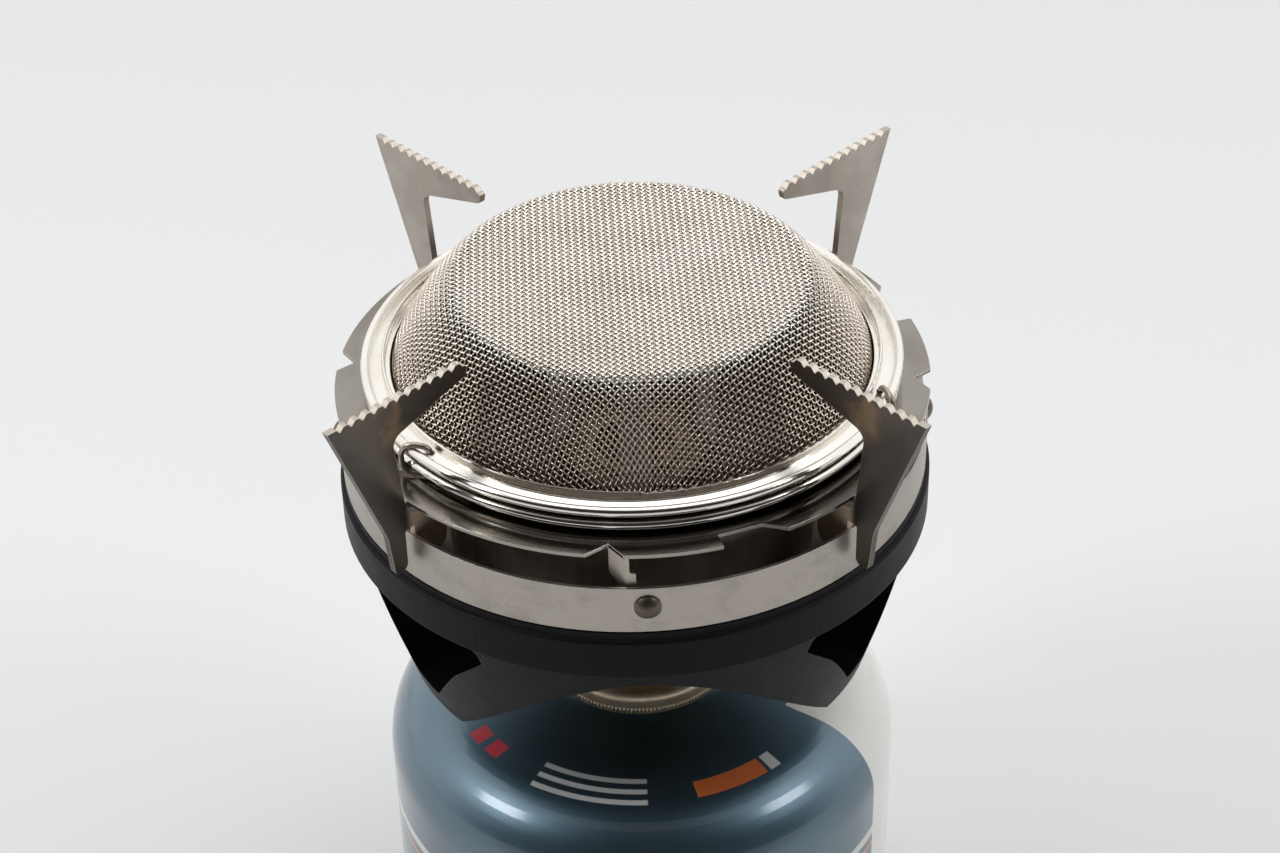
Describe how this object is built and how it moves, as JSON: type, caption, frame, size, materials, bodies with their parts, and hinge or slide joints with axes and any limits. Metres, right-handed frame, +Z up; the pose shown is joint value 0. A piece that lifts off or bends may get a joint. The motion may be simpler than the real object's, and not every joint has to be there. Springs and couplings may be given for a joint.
{
  "type": "canister stove",
  "caption": "Screw-on gas canister stove with a woven wire burner dome, a toothed pot support that twists on, a black base shroud and a folding wire valve handle.",
  "frame": {"origin": "middle of the circle that the canister stands on", "axes": "+Z up along the axis of canister and burner, -Y towards the viewer of the picture, +Y along the valve spindle to its handle"},
  "size_m": [0.0996, 0.1058, 0.1423],
  "materials": {
    "can_paint": "gloss",
    "tinplate": "satin",
    "gold_lacquer": "satin",
    "brass": "satin",
    "sintered": "matte",
    "seal_rubber": "matte",
    "white_plastic": "matte",
    "spring_steel": "satin",
    "polished_steel": "polished",
    "brushed_steel": "brushed",
    "tinted_steel": "satin, heat tinted",
    "mesh_steel": "woven",
    "black_plastic": "satin"
  },
  "bodies": {
    "canister": {"canister_shell": "can_paint", "canister_base": "tinplate", "valve_cup": "gold_lacquer", "valve_collar": "brass", "valve_gasket": "seal_rubber", "valve_stem": "white_plastic", "valve_spring": "spring_steel", "valve_housing": "white_plastic"},
    "seal": {"canister_seal": "seal_rubber"},
    "stove": {"valve_body": "brass", "valve_pin": "spring_steel", "gas_filter": "sintered", "gland_nut": "brass", "jet": "brass", "mixing_tube": "brass", "tube_nut": "brass", "burner_cup": "polished_steel", "flame_spreader": "brushed_steel", "rim_gasket": "seal_rubber", "mesh_dome": "mesh_steel", "retaining_ring": "polished_steel", "wire_ties": "spring_steel", "bayonet_plate": "polished_steel", "shroud": "black_plastic", "shroud_screws": "spring_steel", "shroud_nuts": "spring_steel"},
    "spindle_ring": {"spindle_seal": "seal_rubber"},
    "spindle": {"spindle": "spring_steel"},
    "handle": {"wire_handle": "spring_steel"},
    "pot_support": {"locking_band": "brushed_steel", "lock_pins": "tinted_steel", "front_left_arm": "tinted_steel", "front_right_arm": "tinted_steel", "rear_right_arm": "tinted_steel", "rear_left_arm": "tinted_steel"}
  },
  "joints": [
    {"name": "stove_lift", "type": "slide", "parent": "canister", "child": "seal", "axis": [0, 0, 1], "range_m": [0, 0.00454]},
    {"name": "stove_turn", "type": "hinge", "parent": "seal", "child": "stove", "pos_m": [0, 0, 0.0755], "axis": [0, 0, 1], "range_deg": [0, 1800]},
    {"name": "spindle_travel", "type": "slide", "parent": "stove", "child": "spindle_ring", "axis": [0, 1, 0], "range_m": [0, 0.0016]},
    {"name": "spindle_turn", "type": "hinge", "parent": "spindle_ring", "child": "spindle", "pos_m": [0, 0.012, 0.083], "axis": [0, 1, 0], "range_deg": [0, 720]},
    {"name": "handle_fold", "type": "hinge", "parent": "spindle", "child": "handle", "pos_m": [0, 0.053, 0.083], "axis": [1, 0, 0], "range_deg": [0, 90]},
    {"name": "support_twist", "type": "hinge", "parent": "stove", "child": "pot_support", "pos_m": [0, 0, 0.112], "axis": [0, 0, 1], "range_deg": [0, 18.4]}
  ],
  "couplings": [
    {"joint": "stove_lift", "follows": "stove_turn", "m_per_rad": 0.00014436},
    {"joint": "spindle_travel", "follows": "spindle_turn", "m_per_rad": 0.00012732}
  ]
}
